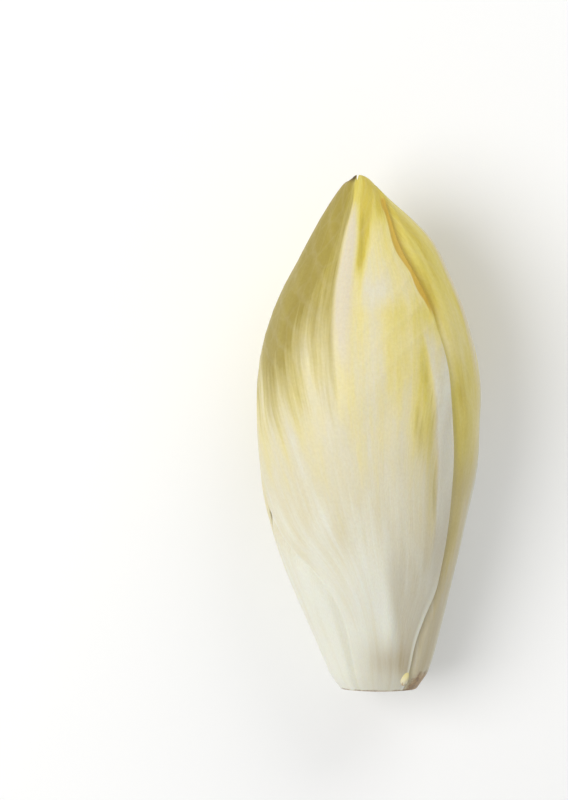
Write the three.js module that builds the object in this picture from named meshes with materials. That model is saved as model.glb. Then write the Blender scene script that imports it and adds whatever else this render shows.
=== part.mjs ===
// A head of belgian endive (blanched chicory), cut at the root and lying on its side.
//
// The head is a spindle of leaves that grow from a short stem cone. Every leaf is a curved shell: its outer
// face is the head's outline less the leaves that already lie over it, so the leaves nest as real ones do.
//
// Frame: millimetres, +Y from the cut base to the leaf tips, +X to the right, +Z up, origin under the middle
// of the head on the surface that it lies on. Angles round the head start at the top and turn towards +X.
import * as THREE from "three";

// Driving dimensions
const LENGTH = 138; // cut base to leaf tips
const BELLY_RADIUS = 30.3; // half of the greatest width
const BELLY_AT = 0.55; // where it is widest, as a share of the length
const FLATNESS = 0.92; // height of the head over its width
const BASE_RADIUS = 12; // just above the cut
const CUT_ROUNDING = 1.4; // how far the cut edge is rounded in
const CUT_ROUNDING_HEIGHT = 0.03; // up to this share of the length
const TIP_RADIUS = 1.75; // of the closed leaf tips
const SWELL_POWER = 1.1; // fullness of the profile from the base to the belly
const TAPER_START_POWER = 1.08; // and from the belly to the tips
const TAPER_END_POWER = 0.8;
const TIP_POWER = 8; // how close to the tips their own radius starts to count
const BASE_SHIFT = 2.4; // the base bends to +X
const TIP_SHIFT = -2.7; // the tip bends to -X
const STRAIGHT_FROM = 0.25; // between these shares of the length the head is straight
const STRAIGHT_TO = 0.82;
const REST_AT = 0.465; // the head rests under its centre of mass
const DENT = 0.8; // depth of the flat that its own weight presses into the belly

const LEAF_COUNT = 18;
const OUTER_LEAVES = 5; // these form the ring that shows
const INNER_LEAVES = 8; // the rest are heart leaves
const FIRST_AZIMUTH = -10; // degrees
const SPIRAL_STEP = -137.5; // golden angle between one leaf and the next, degrees
const LEAF_GAP = 0.62;
const MARGIN_THICKNESS = 1;
const RIB_AT_BASE = 6.4; // thickness of the midrib at the foot of a leaf
const RIB_AT_TIP = 1.2;
const RIB_BREADTH = 2.5; // a larger power keeps a leaf thick further out from its midrib
const RIB_SHARE = 0.2; // a leaf is never thicker than this share of the head's radius
const COVER_CLEARANCE = 13; // degrees past a margin before the next leaf may rise
const COVER_FADE = 45; // degrees over which it rises
const TIP_CLEARANCE = 0.05; // the same past a leaf's tip, as shares of the head's length
const TIP_FADE = 0.1;

const STEM_RADIUS = 6.6; // at the cut face
const STEM_HEIGHT = 0.33; // of the head's length
const STEM_TAPER = 0.8; // below 1 the cone bulges
const STEM_GAP = 0.3;
const HEART_CLEARANCE = 0.35; // least distance of an inner face from the head's axis
const BLUNTEST = 0.16; // width of a leaf's rounded end over its full width
const POINT_POWER = 7; // how late along a leaf its end starts to round off

const BUD_AT = 0.035; // height of the side bud over the cut
const BUD_ANGLE = 43;
const BUD_LENGTH = 5;
const BUD_WIDTH = 2.4;
const BUD_DEPTH = 1.8;
const BUD_GAP = 0.45;

// Half-widths of a leaf in degrees round the head, at each tenth of its length from foot to tip
const COMMON_OUTLINE = [35, 42, 50, 57, 61, 62, 62, 60, 56, 52, 50];
const FRONT_RIGHT_OUTLINE = [32, 35, 53, 60, 60, 60, 61, 58, 46, 46, 98];
const FRONT_LEFT_OUTLINE = [34, 30, 30, 45, 55, 60, 60, 57, 52, 55, 90];
const FRONT_RIB_PATH = [14, 13, 10, 7, 4, 1, -1, -2, -2, 0, 4]; // degrees from its azimuth

// Colour of each kind of leaf and the facets across and along it
const OUTER = { colour: 0xddd5ae, across: 12, along: 18 };
const INNER = { colour: 0xe6dfae, across: 10, along: 17 };
const HEART = { colour: 0xe9e2a0, across: 8, along: 9 };
const LEAF_ROUGHNESS = 0.45;
const STEM_COLOUR = 0xd9cba6;
const BUD_COLOUR = 0xd8d488;

const { clamp, degToRad, euclideanModulo, smoothstep } = THREE.MathUtils;

/** Smooth curve through equally spaced values, read at x from 0 to 1 (Catmull-Rom). */
function curveThrough(values, x) {
  const last = values.length - 1;
  const place = clamp(x, 0, 1) * last;
  const i = Math.min(Math.floor(place), last - 1);
  const f = place - i;
  const [a, b] = [values[Math.max(i - 1, 0)], values[i]];
  const [c, d] = [values[i + 1], values[Math.min(i + 2, last)]];
  return b + 0.5 * f * (c - a + f * (2 * a - 5 * b + 4 * c - d + f * (3 * (b - c) + d - a)));
}

/** Half-width of the whole head at height t, where 0 is the cut and 1 the tips. */
function headRadius(t) {
  if (t < BELLY_AT) {
    const swell = Math.sin((Math.PI / 2) * (t / BELLY_AT)) ** SWELL_POWER;
    const rounding = CUT_ROUNDING * Math.max(1 - t / CUT_ROUNDING_HEIGHT, 0) ** 2;
    return BASE_RADIUS + (BELLY_RADIUS - BASE_RADIUS) * swell - rounding;
  }
  const u = (t - BELLY_AT) / (1 - BELLY_AT);
  const taper = Math.max(Math.cos((Math.PI / 2) * u ** TAPER_START_POWER), 0) ** TAPER_END_POWER;
  return BELLY_RADIUS * taper + TIP_RADIUS * u ** TIP_POWER;
}

/** Height of the centre line; its slope puts the lowest point of the belly under the centre of mass. */
function centreHeight(t) {
  const step = 0.01;
  const slope = (headRadius(REST_AT + step) - headRadius(REST_AT - step)) / (2 * step);
  return FLATNESS * (headRadius(REST_AT) + slope * (t - REST_AT)) - DENT;
}

/** Sideways bend of the centre line, which is straight along the middle of the head. */
function centreShift(t) {
  return BASE_SHIFT * (1 - smoothstep(t, 0, STRAIGHT_FROM)) + TIP_SHIFT * smoothstep(t, STRAIGHT_TO, 1);
}

/** Distance from the axis to the head's outside, flat where it meets the surface below. */
function envelope(t, angle) {
  const down = -FLATNESS * Math.cos(degToRad(angle));
  const round = headRadius(t);
  return down > 0 ? Math.min(round, centreHeight(t) / down) : round;
}

function stemRadius(t) {
  return STEM_RADIUS * Math.max(1 - t / STEM_HEIGHT, 0) ** STEM_TAPER;
}

/** A point at height t, at an angle round the axis and at a distance from it. */
function onHead(t, angle, radius, target) {
  const turn = degToRad(angle);
  return target.set(
    centreShift(t) + radius * Math.sin(turn),
    t * LENGTH,
    centreHeight(t) + FLATNESS * radius * Math.cos(turn),
  );
}

/** Share of a leaf's length at height t. */
function shareOf(leaf, t) {
  return clamp((t - leaf.foot) / (leaf.tip - leaf.foot), 0, 1);
}

function ribAngle(leaf, t) {
  return leaf.azimuth + (leaf.ribPath ? curveThrough(leaf.ribPath, shareOf(leaf, t)) : 0);
}

/** Half-width of the strip that a leaf grows in, on one side (negative left, positive right), in degrees. */
function stripWidth(leaf, t, side) {
  return curveThrough(side < 0 ? leaf.left : leaf.right, shareOf(leaf, t));
}

/** Half-width of the leaf itself, which rounds off at a free tip. */
function halfWidth(leaf, t, side) {
  const rounding = leaf.hooded ? 1 : Math.max(Math.sqrt(1 - shareOf(leaf, t) ** POINT_POWER), BLUNTEST);
  return stripWidth(leaf, t, side) * rounding;
}

/** Thickness at height t and at q across the leaf, where q is 0 on the midrib and 1 on a margin. */
function thickness(leaf, t, q) {
  const rib = RIB_AT_TIP + (RIB_AT_BASE - RIB_AT_TIP) * (1 - shareOf(leaf, t));
  const ribHere = Math.min(rib, RIB_SHARE * headRadius(t));
  const margin = Math.min(MARGIN_THICKNESS, ribHere);
  return margin + (ribHere - margin) * (1 - Math.min(q, 1) ** RIB_BREADTH);
}

/** Room that a leaf takes from the ones inside it: its thickness and a gap, fading out past its edges. */
function roomTaken(leaf, t, angle) {
  const offset = euclideanModulo(angle - ribAngle(leaf, t) + 180, 360) - 180;
  const half = stripWidth(leaf, t, offset);
  const pastSide = Math.abs(offset) - half - COVER_CLEARANCE;
  const pastTip = t - leaf.tip - TIP_CLEARANCE;
  const cover = (1 - smoothstep(pastSide, 0, COVER_FADE)) * (1 - smoothstep(pastTip, 0, TIP_FADE));
  return cover * (thickness(leaf, t, Math.abs(offset) / half) + LEAF_GAP);
}

/** Distance from the axis to a leaf's outer face. */
function outerFace(leaf, t, angle) {
  const taken = leaf.over.reduce((sum, other) => sum + roomTaken(other, t, angle), 0);
  return envelope(t, angle) - taken;
}

/** True where the whole width of a leaf at height t lies clear of the stem and of the head's axis. */
function hasRoom(leaf, t) {
  return [-1, -0.5, 0, 0.5, 1].every((q) => {
    const angle = ribAngle(leaf, t) + q * halfWidth(leaf, t, q);
    const inner = outerFace(leaf, t, angle) - thickness(leaf, t, Math.abs(q));
    return inner >= Math.max(stemRadius(t) + STEM_GAP, HEART_CLEARANCE);
  });
}

/** The leaves from the outermost in, each with its place on the spiral and the leaves that lie over it. */
function growLeaves() {
  const leaves = [];
  const special = [
    {
      name: "outer_leaf_front",
      left: FRONT_LEFT_OUTLINE,
      right: FRONT_RIGHT_OUTLINE,
      ribPath: FRONT_RIB_PATH,
      hooded: true,
      tip: 1,
    },
    { name: "outer_leaf_under", tip: 0.955 },
    { name: "outer_leaf_right", tip: 0.985 },
    { name: "outer_leaf_left", tip: 1, hooded: true },
    { name: "outer_leaf_back", tip: 0.965 },
  ];
  for (let k = 0; k < LEAF_COUNT; k += 1) {
    const inner = k - OUTER_LEAVES + 1;
    const heart = inner - INNER_LEAVES;
    const leaf = {
      name: heart > 0 ? `heart_leaf_${heart}` : `inner_leaf_${inner}`,
      azimuth: FIRST_AZIMUTH + SPIRAL_STEP * k,
      left: COMMON_OUTLINE,
      right: COMMON_OUTLINE,
      foot: 0,
      tip: 0.97 - 0.018 * inner,
      over: leaves.slice(),
      ...special[k],
    };
    while (!hasRoom(leaf, leaf.foot)) leaf.foot += 0.005;
    while (!hasRoom(leaf, leaf.tip)) leaf.tip -= 0.005;
    leaves.push(leaf);
  }
  return leaves;
}

/** One leaf as a bent plate: x runs across the leaf, y along it and z through its thickness. */
function leafGeometry(leaf, across, along) {
  const plate = new THREE.BoxGeometry(2, 1, 1, across, along, 1);
  const points = plate.getAttribute("position");
  const point = new THREE.Vector3();
  for (let i = 0; i < points.count; i += 1) {
    const q = points.getX(i);
    const rows = points.getY(i) + 0.5;
    const t = THREE.MathUtils.lerp(leaf.foot, leaf.tip, rows);
    const angle = ribAngle(leaf, t) + q * halfWidth(leaf, t, q);
    const depth = points.getZ(i) > 0 ? 0 : thickness(leaf, t, Math.abs(q));
    onHead(t, angle, outerFace(leaf, t, angle) - depth, point);
    points.setXYZ(i, point.x, point.y, point.z);
  }
  return plate;
}

/** The stem cone: a capped cylinder whose rings follow the centre line and shrink to the growing point. */
function stemGeometry() {
  const stem = new THREE.CylinderGeometry(0.4, 1, 1, 20, 8);
  const points = stem.getAttribute("position");
  const point = new THREE.Vector3();
  for (let i = 0; i < points.count; i += 1) {
    const t = (points.getY(i) + 0.5) * STEM_HEIGHT * 0.96;
    const [x, z] = [points.getX(i), points.getZ(i)];
    const onAxis = Math.hypot(x, z) < 1e-6;
    const angle = THREE.MathUtils.radToDeg(Math.atan2(x, z));
    onHead(t, angle, onAxis ? 0 : stemRadius(t), point);
    points.setXYZ(i, point.x, point.y, point.z);
  }
  return stem;
}

/** The side bud: a small drop, narrower towards its top (+Y), a little flattened from front to back (Z). */
function budGeometry() {
  const bud = new THREE.SphereGeometry(0.5, 12, 10);
  const points = bud.getAttribute("position");
  for (let i = 0; i < points.count; i += 1) {
    const y = points.getY(i);
    const taper = 1 - 0.9 * Math.max(y, 0);
    points.setX(i, BUD_WIDTH * taper * points.getX(i));
    points.setY(i, BUD_LENGTH * y);
    points.setZ(i, BUD_DEPTH * taper * points.getZ(i));
  }
  return bud;
}

/** Lays the bud against the outer face of a leaf, along the leaf. */
function placeBud(bud, leaf) {
  const reach = BUD_LENGTH / 2 / LENGTH;
  const ends = [BUD_AT - reach, BUD_AT + reach].map((t) =>
    onHead(t, BUD_ANGLE, outerFace(leaf, t, BUD_ANGLE), new THREE.Vector3()),
  );
  const along = ends[1].clone().sub(ends[0]).normalize();
  const turn = degToRad(BUD_ANGLE);
  const across = new THREE.Vector3(Math.cos(turn), 0, -Math.sin(turn));
  const outward = across.clone().cross(along).normalize();
  across.crossVectors(along, outward);
  bud.quaternion.setFromRotationMatrix(new THREE.Matrix4().makeBasis(across, along, outward));
  bud.position.lerpVectors(ends[0], ends[1], 0.5).addScaledVector(outward, BUD_DEPTH / 2 + BUD_GAP);
}

function named(name, geometry, colour, roughness) {
  const material = new THREE.MeshStandardMaterial({ color: colour, roughness, metalness: 0 });
  const mesh = new THREE.Mesh(geometry, material);
  mesh.name = name;
  return mesh;
}

const head = new THREE.Group();
const leaves = growLeaves();
leaves.forEach((leaf, k) => {
  const kind = k < OUTER_LEAVES ? OUTER : k < OUTER_LEAVES + INNER_LEAVES ? INNER : HEART;
  head.add(named(leaf.name, leafGeometry(leaf, kind.across, kind.along), kind.colour, LEAF_ROUGHNESS));
});
head.add(named("stem_core", stemGeometry(), STEM_COLOUR, 0.7));

const bud = named("base_bud", budGeometry(), BUD_COLOUR, 0.5);
placeBud(
  bud,
  leaves.find((leaf) => leaf.name === "outer_leaf_right"),
);
head.add(bud);

const box = new THREE.Box3().setFromObject(head, true);
const middle = box.getCenter(new THREE.Vector3());
head.position.set(-middle.x, -middle.y, -box.min.z);

export default head;
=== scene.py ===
"""A head of belgian endive (blanched chicory) lying on a pale studio floor, seen from above.

The CAD model gives the head's size, place and leaves. Each leaf is made again here as one fine closed surface
with its ribs, veins, rolled edges and colours, the stem and the side bud with it, and then the stage is set.
"""
import math
from dataclasses import dataclass, field

import bpy
import numpy as np
from mathutils import Matrix, Vector


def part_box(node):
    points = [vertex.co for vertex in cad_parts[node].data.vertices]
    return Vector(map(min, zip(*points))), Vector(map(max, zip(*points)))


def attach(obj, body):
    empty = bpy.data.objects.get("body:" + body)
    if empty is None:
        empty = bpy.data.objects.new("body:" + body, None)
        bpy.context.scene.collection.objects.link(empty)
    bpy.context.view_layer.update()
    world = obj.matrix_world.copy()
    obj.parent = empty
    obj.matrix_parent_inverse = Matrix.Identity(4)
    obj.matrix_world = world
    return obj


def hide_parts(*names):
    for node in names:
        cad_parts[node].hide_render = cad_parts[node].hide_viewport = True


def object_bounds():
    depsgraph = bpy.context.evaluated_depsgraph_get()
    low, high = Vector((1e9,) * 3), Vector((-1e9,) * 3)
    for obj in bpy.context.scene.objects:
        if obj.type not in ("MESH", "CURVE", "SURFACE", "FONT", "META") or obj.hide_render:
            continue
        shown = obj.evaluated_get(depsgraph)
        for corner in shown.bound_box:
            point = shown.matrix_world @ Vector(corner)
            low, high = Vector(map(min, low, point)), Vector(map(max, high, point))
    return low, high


bl_info = {
    "name": "Belgian endive",
    "version": (1, 0, 0),
    "blender": (4, 5, 0),
    "location": "View3D > Sidebar > Endive",
    "description": "Builds a head of blanched chicory leaf by leaf, and a plain studio round it",
    "category": "Add Mesh",
}

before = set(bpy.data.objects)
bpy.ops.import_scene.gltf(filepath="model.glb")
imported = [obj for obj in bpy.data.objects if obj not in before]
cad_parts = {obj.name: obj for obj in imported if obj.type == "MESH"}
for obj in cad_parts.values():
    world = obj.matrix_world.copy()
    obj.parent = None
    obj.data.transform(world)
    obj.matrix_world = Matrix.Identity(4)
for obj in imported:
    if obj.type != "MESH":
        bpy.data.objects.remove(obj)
CAD_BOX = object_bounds()

MM = 0.001

# The head's outline. Heights are shares of its length, 0 at the cut and 1 at the leaf tips, and so are radii.
BELLY_AT = 0.55
BASE_SHARE = 12 / 138
BELLY_SHARE = 29.9 / 138
TIP_SHARE = 1.6 / 138
FLATNESS = 0.92  # depth over width
SWELL_POWER = 1.1
TAPER_START_POWER = 1.12
TAPER_END_POWER = 0.86
TIP_POWER = 8
CUT_ROUNDING = 1.8 / 138  # how far the leaf feet are drawn in at the cut
CUT_ROUNDING_TO = 0.035

# The centre line: millimetres sideways at the ends, and the heights between which it is straight
STEM_SHIFT = 2.4  # how far the CAD stem stands beside the axis
BASE_SHIFT = 3.1
TIP_SHIFT = -2.7
STRAIGHT_FROM = 0.32
STRAIGHT_TO = 0.82
REST_AT = 0.465  # height at which the belly touches the floor
DENT = 0.8  # how deep it is pressed flat there, millimetres

# The leaves stand on a spiral, a golden angle apart. Angles are degrees from the top towards +X.
FIRST_AZIMUTH = -10
SPIRAL_STEP = -137.5

# Half-widths of a leaf and the place of its midrib, in degrees round the head, equally spaced foot to tip
COMMON_OUTLINE = (48, 51, 54, 58, 61, 62, 62, 60, 58, 61, 72)
FRONT_RIGHT_OUTLINE = (
    *(32, 32, 35, 43, 53, 56.5, 58, 58, 58, 58, 58),
    *(58.5, 58.5, 57.8, 56.8, 56.6, 52, 46, 48.5, 62, 94),
)
FRONT_LEFT_OUTLINE = (
    *(34, 32, 30, 29, 33, 44, 60, 71, 76, 78, 79),
    *(79, 78, 77, 75, 72, 69, 67, 67, 74, 92),
)
FRONT_RIB_PATH = (14, 13, 10, 6.5, 3, 0, -3, -6, -7, -5, 4)
STRAIGHT_RIB = (0, 0)

FRONT, UNDER, RIGHT = "outer_leaf_front", "outer_leaf_under", "outer_leaf_right"
LEFT, BACK = "outer_leaf_left", "outer_leaf_back"

# What sets each outer leaf apart, from the outermost in. The front one wraps round the tips like a hood, and
# the rest end in a point: the higher the number, the blunter.
OUTER_LEAVES = {
    FRONT: {"left": FRONT_LEFT_OUTLINE, "right": FRONT_RIGHT_OUTLINE, "rib_path": FRONT_RIB_PATH, "tip": 1},
    UNDER: {"tip": 0.985, "point": 16},
    RIGHT: {"tip": 0.985, "point": 28},
    LEFT: {"tip": 1, "point": 60},
    BACK: {"tip": 0.98, "point": 16},
}
INNER_TIP_EXTRA = 0.02  # how much further than its CAD node an inner leaf reaches, and where it has to stop
INNER_TIP_LIMIT = 0.97

# Share of a leaf's length over which its outermost edge and its tip are rounded off, and its narrowest tip
SIDE_ROUND = 0.015
TIP_ROUND = 0.006
NARROWEST_TIP = 0.1

# Yellow pigment along a leaf, at each tenth of its length: blanched white at the foot, yellow at the tip
PIGMENT = (0, 0.01, 0.04, 0.13, 0.24, 0.33, 0.43, 0.55, 0.70, 0.84, 0.9)

# Side veins: their spacing, half-thickness and how steeply they rise, in millimetres
VEIN_SPACING = 9
VEIN_HALF = 0.45
VEIN_RISE = 2.1

# The side bud, in millimetres: half-widths, length, and where it sits from the middle of its CAD node
BUD_HALF_WIDTH = 1.35
BUD_HALF_DEPTH = 1.2
BUD_LENGTH = 6.0
BUD_PLACE = (-1.3, 0.7, 0.9)
BUD_SLOPE = math.radians(16)
BUD_TURN = math.radians(43)

# Patterns of the leaf skin: size across and along the leaf in millimetres, then detail and roughness
SKIN_PATTERNS = {
    "fibre": (1.0, 26, 3, 0.6),
    "streak": (4.5, 60, 2, 0.5),
    "cloud": (5, 22, 4, 0.6),
    "grain": (0.5, 0.9, 2, 0.6),
}
NET_CELL = (3.2, 7.5)  # millimetres across and along a cell of the vein net
BUD_FIBRE = (0.4, 3)

# The stage: the floor's half-width, the lamps' width and their places from the middle of the head, in metres
FLOOR_HALF = 2.0
LAMP_WIDTH = 0.7
KEY_PLACE = (-0.55, 0.0, 0.75)
FILL_PLACE = (0.35, 0.72, 0.52)


@dataclass
class Leaf:
    """One leaf: where it stands on the spiral, its outline, and the leaves that lie over it."""

    node: str
    azimuth: float
    foot: float
    tip: float
    seed: int
    left: tuple = COMMON_OUTLINE
    right: tuple = COMMON_OUTLINE
    rib_path: tuple = STRAIGHT_RIB
    point: float = 7
    over: list = field(default_factory=list)


def hex_to_linear(code):
    """Linear RGB of an sRGB colour such as "#d2c566"."""
    srgb = np.array([int(code[i : i + 2], 16) for i in (1, 3, 5)]) / 255
    return tuple(np.where(srgb <= 0.04045, srgb / 12.92, ((srgb + 0.055) / 1.055) ** 2.4))


def colour(name, description, code):
    """A colour property, given as an sRGB hex value."""
    return bpy.props.FloatVectorProperty(
        name=name, description=description, default=hex_to_linear(code), size=3, subtype="COLOR", min=0, max=1
    )


def length(name, description, millimetres):
    """A length property whose default is given in millimetres."""
    return bpy.props.FloatProperty(
        name=name, description=description, default=millimetres * MM, unit="LENGTH", subtype="DISTANCE"
    )


# ---------------------------------------------------------------- settings


class EndiveSizes(bpy.types.PropertyGroup):
    leaf_gap: length("Leaf gap", "Air between one leaf and the next", 0.25)
    margin_thickness: length("Edge thickness", "Thickness of a leaf at its edges", 0.75)
    rib_at_base: length("Midrib at foot", "Thickness of the midrib at the foot of a leaf", 6.4)
    rib_at_tip: length("Midrib at tip", "Thickness of the midrib at the tip of a leaf", 1.1)
    ridge_height: length("Ridge height", "How far the midrib stands out near the tip", 0.9)
    vein_height: length("Vein height", "How far the side veins stand out of the blade", 0.10)


class EndiveColours(bpy.types.PropertyGroup):
    blanched: colour("Blanched foot", "White flesh of the lower leaf", "#e6e6d8")
    cream: colour("Cream", "Lower middle of a leaf", "#ddd6b9")
    pale_yellow: colour("Pale yellow", "Upper middle of a leaf", "#e2d698")
    yellow: colour("Yellow", "Blade near the tip", "#dbcc68")
    deep_yellow: colour("Deep yellow", "Most pigmented blade", "#cfbc4e")
    midrib: colour("Midrib", "Pale rib that stands out of the blade", "#dad0b8")
    # Olive is partly greening and partly painted shadow and shade on the leaves
    olive_and_shade: colour("Olive", "Side of the blade that the light has greened", "#9d8c3c")
    # Tan is painted shade on the leaves, and the tint of the faint grain
    tan: colour("Tan", "Flesh that has been rubbed or shaded and turned a light tan", "#b5a684")
    # The dried-edge brown also paints the shadow along the front leaf's right edge
    dried_and_shadow: colour("Dried edge", "Leaf edge that has dried and browned", "#c5a338")
    scorched: colour("Scorched tip", "Dead tissue at the very tip", "#4d3a1c")
    cut: colour("Browned cut", "Cut flesh after some days in the air", "#ad8a5c")
    crust: colour("Cut crust", "Specks of the cut that have dried hard and dark", "#6e4a33")
    floor: colour("Floor", "Pale studio floor", "#f7f7f6")


class EndiveStudio(bpy.types.PropertyGroup):
    camera_height: length("Camera height", "Height of the camera over the middle of the head", 870)
    view_width: length("View width", "Width that the camera sees at the middle of the head", 151.7)
    head_right: length("Head to the right", "How far right of the view's middle the head lies", 23)
    head_down: length("Head down", "How far below the view's middle the head lies", 9.3)
    key_power: bpy.props.FloatProperty(
        name="Key light", description="Power of the soft light from the left", default=5.2, unit="POWER"
    )
    fill_power: bpy.props.FloatProperty(
        name="Fill light", description="Power of the soft light beyond the tips", default=2.6, unit="POWER"
    )
    sky: bpy.props.FloatProperty(
        name="Sky", description="Strength of the even light all round", default=0.5, min=0, subtype="FACTOR"
    )


# ---------------------------------------------------------------- curves


def smoothstep(x, low, high):
    """0 below low, 1 above high, and a smooth S between them."""
    x = np.clip((x - low) / (high - low), 0, 1)
    return x * x * (3 - 2 * x)


def below(x, low, high):
    """1 below low, 0 above high: smoothstep turned over."""
    return 1 - smoothstep(x, low, high)


def between(x, rise, fall):
    """1 between a rise and a fall, each given as the two places where its smooth S starts and ends."""
    return smoothstep(x, *rise) * below(x, *fall)


def bell(x, middle, width):
    """1 at the middle, falling to 0 either side of it: a Gaussian."""
    return np.exp(-(((x - middle) / width) ** 2))


def wrapped(angle):
    """The same angle, from -180 to 180 degrees."""
    return (angle + 180) % 360 - 180


def curve_through(values, x):
    """Smooth curve through equally spaced values, read at x from 0 to 1: a Catmull-Rom spline."""
    values = np.asarray(values, float)
    last = len(values) - 1
    place = np.clip(x, 0, 1) * last
    i = np.minimum(place.astype(int), last - 1)
    f = place - i
    a, b = values[np.maximum(i - 1, 0)], values[i]
    c, d = values[i + 1], values[np.minimum(i + 2, last)]
    return b + 0.5 * f * (c - a + f * (2 * a - 5 * b + 4 * c - d + f * (3 * (b - c) + d - a)))


def ripples(rng, u, v, scales, drift=0.3):
    """Sum of a few long crested waves with random phases, from -1 to 1, for coordinates in millimetres.

    Each scale is a wavelength across (u); the crests wander slowly with v, by sines 19 and 8.3 mm long."""
    total = 0
    for scale in scales:
        phase, wander, sway = rng.uniform(0, 2 * np.pi, 3)
        bend = drift * np.sin(v / 19 + wander) + 0.5 * drift * np.sin(v / 8.3 + sway)
        total = total + np.cos(2 * np.pi * u / scale + phase + 2 * np.pi * bend)
    return total / len(scales)


# ---------------------------------------------------------------- shape of the head


class Head:
    """The head's outline and the rules by which its leaves nest, in millimetres."""

    def __init__(self, sizes):
        low, high = (np.array(corner) / MM for corner in CAD_BOX)
        stem_low, stem_high = (np.array(corner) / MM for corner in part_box("stem_core"))
        self.base_y = low[1]
        self.length = high[1] - low[1]
        self.axis_x = (stem_low[0] + stem_high[0]) / 2 - STEM_SHIFT
        self.stem_height = (stem_high[1] - stem_low[1]) / self.length
        self.stem_radius = (stem_high[0] - stem_low[0]) / 2
        self.gap = sizes.leaf_gap / MM
        self.margin = sizes.margin_thickness / MM
        self.rib_at_base = sizes.rib_at_base / MM
        self.rib_at_tip = sizes.rib_at_tip / MM
        self.ridge_height = sizes.ridge_height / MM
        self.vein_height = sizes.vein_height / MM

    def radius(self, t):
        """Half-width at height t: a sine that swells from the cut to the belly, then a cosine to the tips."""
        swell = np.sin(np.pi / 2 * np.clip(t / BELLY_AT, 0, 1)) ** SWELL_POWER
        drawn_in = CUT_ROUNDING * np.maximum(1 - t / CUT_ROUNDING_TO, 0) ** 2
        foot = BASE_SHARE + (BELLY_SHARE - BASE_SHARE) * swell - drawn_in
        u = np.clip((t - BELLY_AT) / (1 - BELLY_AT), 0, 1)
        taper = np.maximum(np.cos(np.pi / 2 * u**TAPER_START_POWER), 0) ** TAPER_END_POWER
        return self.length * np.where(t < BELLY_AT, foot, BELLY_SHARE * taper + TIP_SHARE * u**TIP_POWER)

    def centre_height(self, t):
        """Height of the centre line, which slopes so that the belly touches under the centre of mass."""
        step = 0.01
        ends = self.radius(np.array([REST_AT - step, REST_AT, REST_AT + step]))
        slope = (ends[2] - ends[0]) / (2 * step)
        return FLATNESS * (ends[1] + slope * (t - REST_AT)) - DENT

    def centre_x(self, t):
        """Sideways place of the centre line, bent at the base and at the tips."""
        base = BASE_SHIFT * below(t, 0, STRAIGHT_FROM)
        return self.axis_x + base + TIP_SHIFT * smoothstep(t, STRAIGHT_TO, 1)

    def envelope(self, t, angle):
        """Distance from the axis to the outside: an ellipse, cut flat where it lies on the floor."""
        down = -FLATNESS * np.cos(np.radians(angle))
        floor = self.centre_height(t) / np.maximum(down, 0.01)
        return np.where(down > 0.01, np.minimum(self.radius(t), floor), self.radius(t))

    def stem(self, t):
        """Radius of the stem: a cone with slightly bulging sides."""
        return self.stem_radius * np.maximum(1 - t / self.stem_height, 0) ** 0.8

    def place(self, t, angle, radius):
        """Points in metres: at height t, turned by angle from the top towards +X, at a radius from the axis.

        Near the cut the points are drawn up by the square of their distance from the middle, because the
        knife leaves a slightly domed face, and further at the right-hand corner."""
        turn = np.radians(angle)
        side = radius * np.sin(turn)
        dome = 0.9 * (radius / 12) ** 2 + 0.6 * smoothstep(side, 8.5, 12.5)
        y = self.base_y + t * self.length + dome * below(t, 0, 0.07)
        x = self.centre_x(t) + side
        z = self.centre_height(t) + FLATNESS * radius * np.cos(turn)
        return np.stack(np.broadcast_arrays(x, y, np.maximum(z, 0)), -1) * MM

    def share(self, leaf, t):
        """Height t as a share of a leaf's own length."""
        return np.clip((t - leaf.foot) / (leaf.tip - leaf.foot), 0, 1)

    def rib_angle(self, leaf, t):
        """Angle of a leaf's midrib at height t."""
        return leaf.azimuth + curve_through(leaf.rib_path, self.share(leaf, t))

    def strip_width(self, leaf, t, side):
        """Half-width of the strip that a leaf grows in, on the side whose sign is given, in degrees."""
        share = self.share(leaf, t)
        return np.where(side < 0, curve_through(leaf.left, share), curve_through(leaf.right, share))

    def past_edge(self, leaf, t, angle):
        """How far an angle lies past a leaf's right edge, in degrees."""
        return wrapped(angle - self.rib_angle(leaf, t) - self.strip_width(leaf, t, 1))

    def thickness(self, leaf, t, q):
        """Thickness at height t and at q across the leaf, 0 on the midrib and 1 on an edge: thick on the rib,
        falling by the 2.5th power to the edge, and never over a fifth of the head's radius."""
        share = self.share(leaf, t)
        rib = self.rib_at_tip + (self.rib_at_base - self.rib_at_tip) * (1 - share)
        rib = np.minimum(rib, 0.2 * self.radius(t))
        margin = np.minimum(self.margin, rib)
        return margin + (rib - margin) * (1 - np.clip(np.abs(q), 0, 1) ** 2.5)

    def room_taken(self, leaf, t, angle):
        """Room that a leaf takes from those inside it, fading out past its edges and its tip."""
        offset = wrapped(angle - self.rib_angle(leaf, t))
        half = self.strip_width(leaf, t, offset)
        cover = below(np.abs(offset) - half, 1.5, 12) * below(t, leaf.tip, leaf.tip + 0.05)
        return cover * (self.thickness(leaf, t, offset / half) + self.gap)

    def outer_face(self, leaf, t, angle):
        """Distance from the axis to a leaf's outer face: the outline less the leaves over it."""
        face = self.envelope(t, angle)
        for other in leaf.over:
            face = face - self.room_taken(other, t, angle)
        return np.maximum(face, 0.6)


# ---------------------------------------------------------------- meshes


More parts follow.
